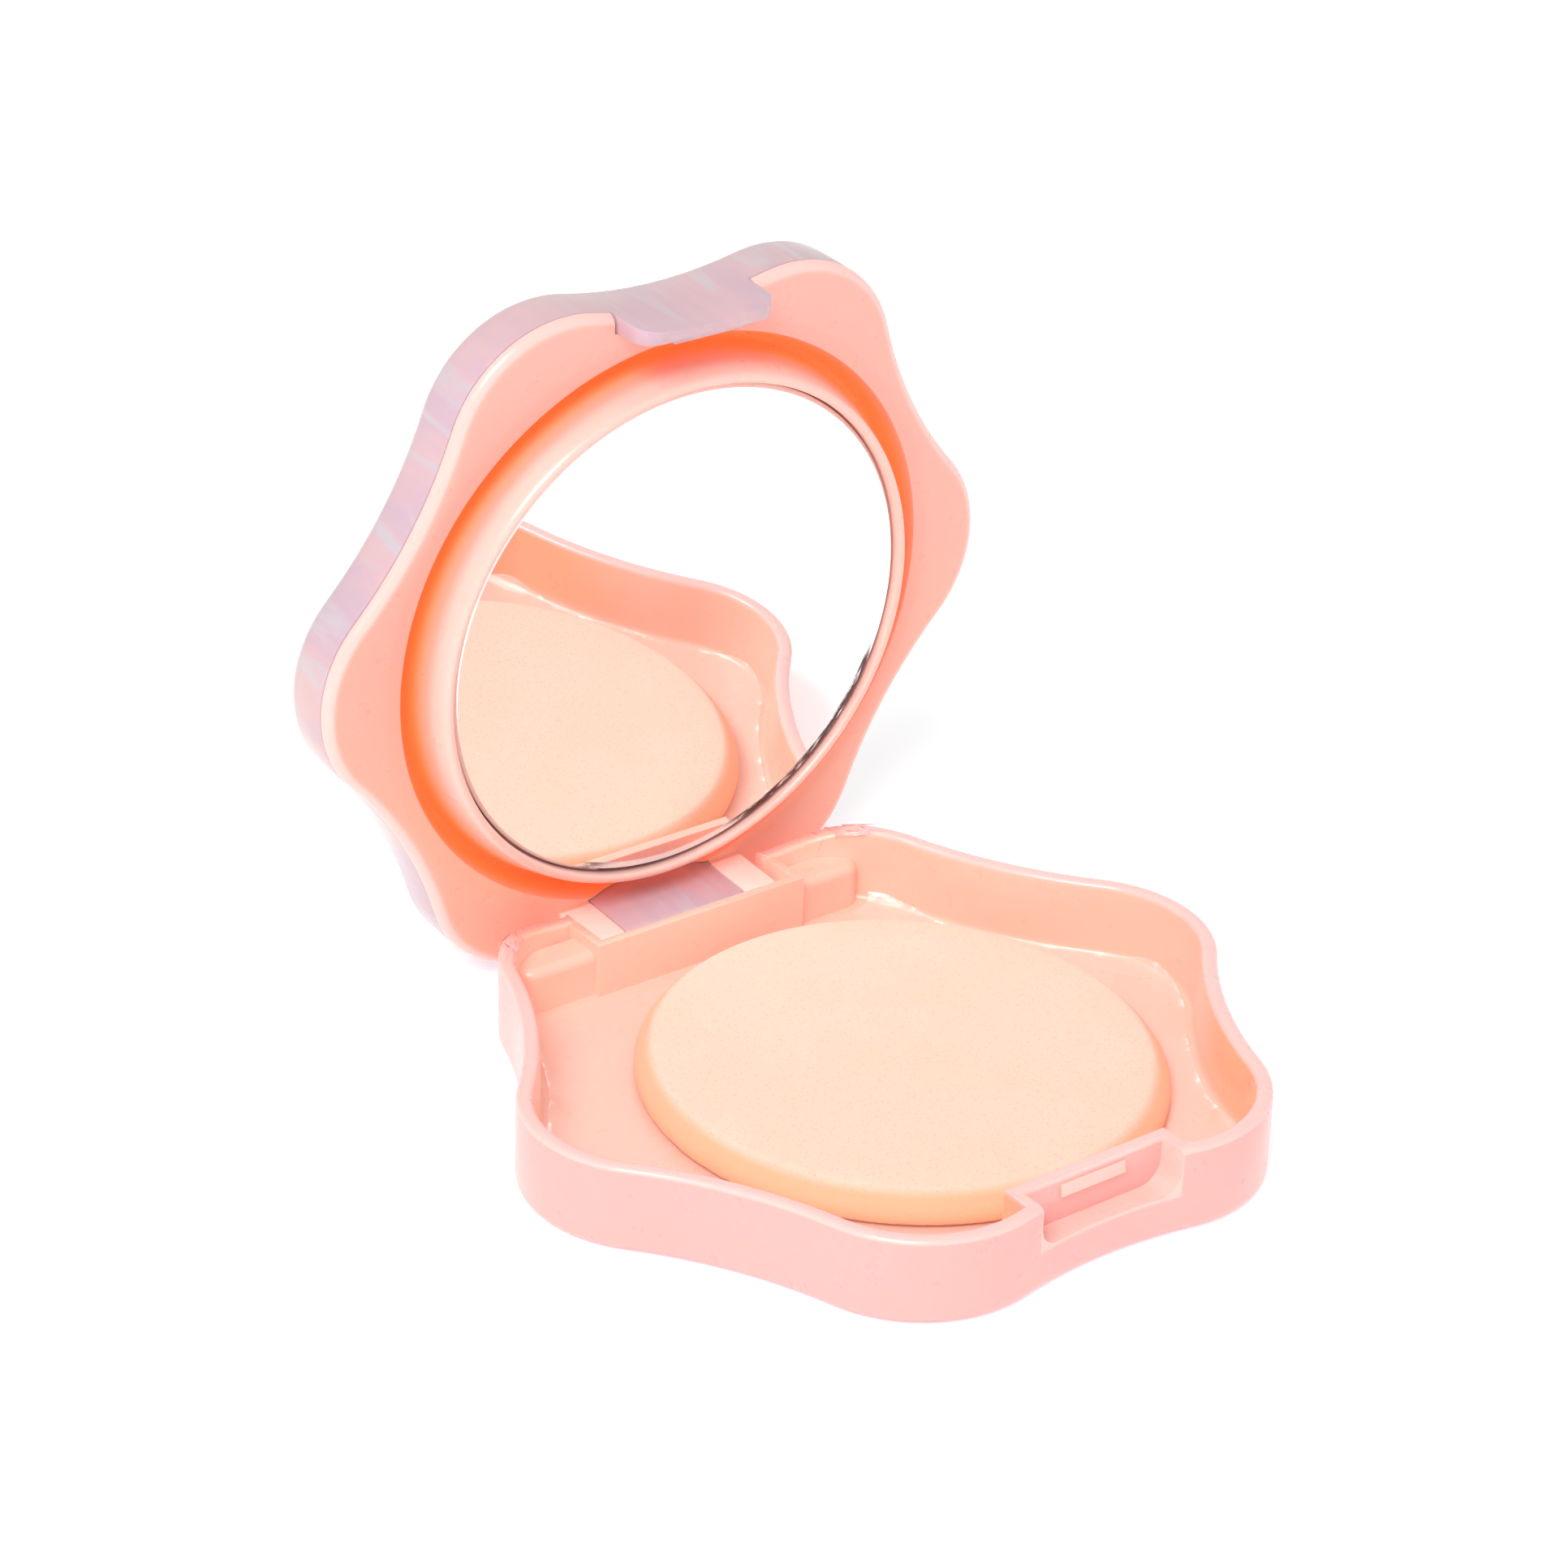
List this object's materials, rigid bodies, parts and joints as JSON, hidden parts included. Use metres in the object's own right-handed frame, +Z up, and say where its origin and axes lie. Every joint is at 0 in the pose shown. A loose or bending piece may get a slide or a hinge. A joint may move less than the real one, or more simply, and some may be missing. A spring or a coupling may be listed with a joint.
{
  "type": "powder compact",
  "caption": "Flower-shaped powder compact: a lobed tray with a sponge puff, and a hinged mirror lid with a snap latch.",
  "frame": {"origin": "centre of the tray's flat bottom face, on the surface it stands on", "axes": "+Z up, +X along the hinge pin, +Y towards the hinge, -Y towards the latch"},
  "size_m": [0.08, 0.0826, 0.0737],
  "materials": {
    "coral_plastic": "soft gloss, slightly translucent coral pink",
    "pin_steel": "drawn steel",
    "clear_film": "clear glossy film",
    "sponge": "fine-pored matte foam",
    "pearl_shell": "glossy translucent mauve with a pearl sheen",
    "pearl_film": "pearlescent lilac film",
    "mirror": "silvered glass",
    "adhesive": "white foam tape"
  },
  "bodies": {
    "base": {"base_tray": "coral_plastic", "hinge_pin": "pin_steel", "clear_liner": "clear_film"},
    "lid": {"lid_outer_shell": "pearl_shell", "lid_pearl_film": "pearl_film", "lid_inner_frame": "coral_plastic", "mirror_glass": "mirror", "mirror_adhesive_pad": "adhesive"},
    "puff": {"puff": "sponge"}
  },
  "joints": [
    {"name": "lid_hinge", "type": "hinge", "parent": "base", "child": "lid", "pos_m": [0, 0.03316, 0.00349], "axis": [-1, 0, 0], "range_deg": [-86.14, 3.5]},
    {"name": "puff_lift", "type": "slide", "parent": "base", "child": "puff", "axis": [0, 0, 1], "range_m": [0, 0.02]}
  ]
}
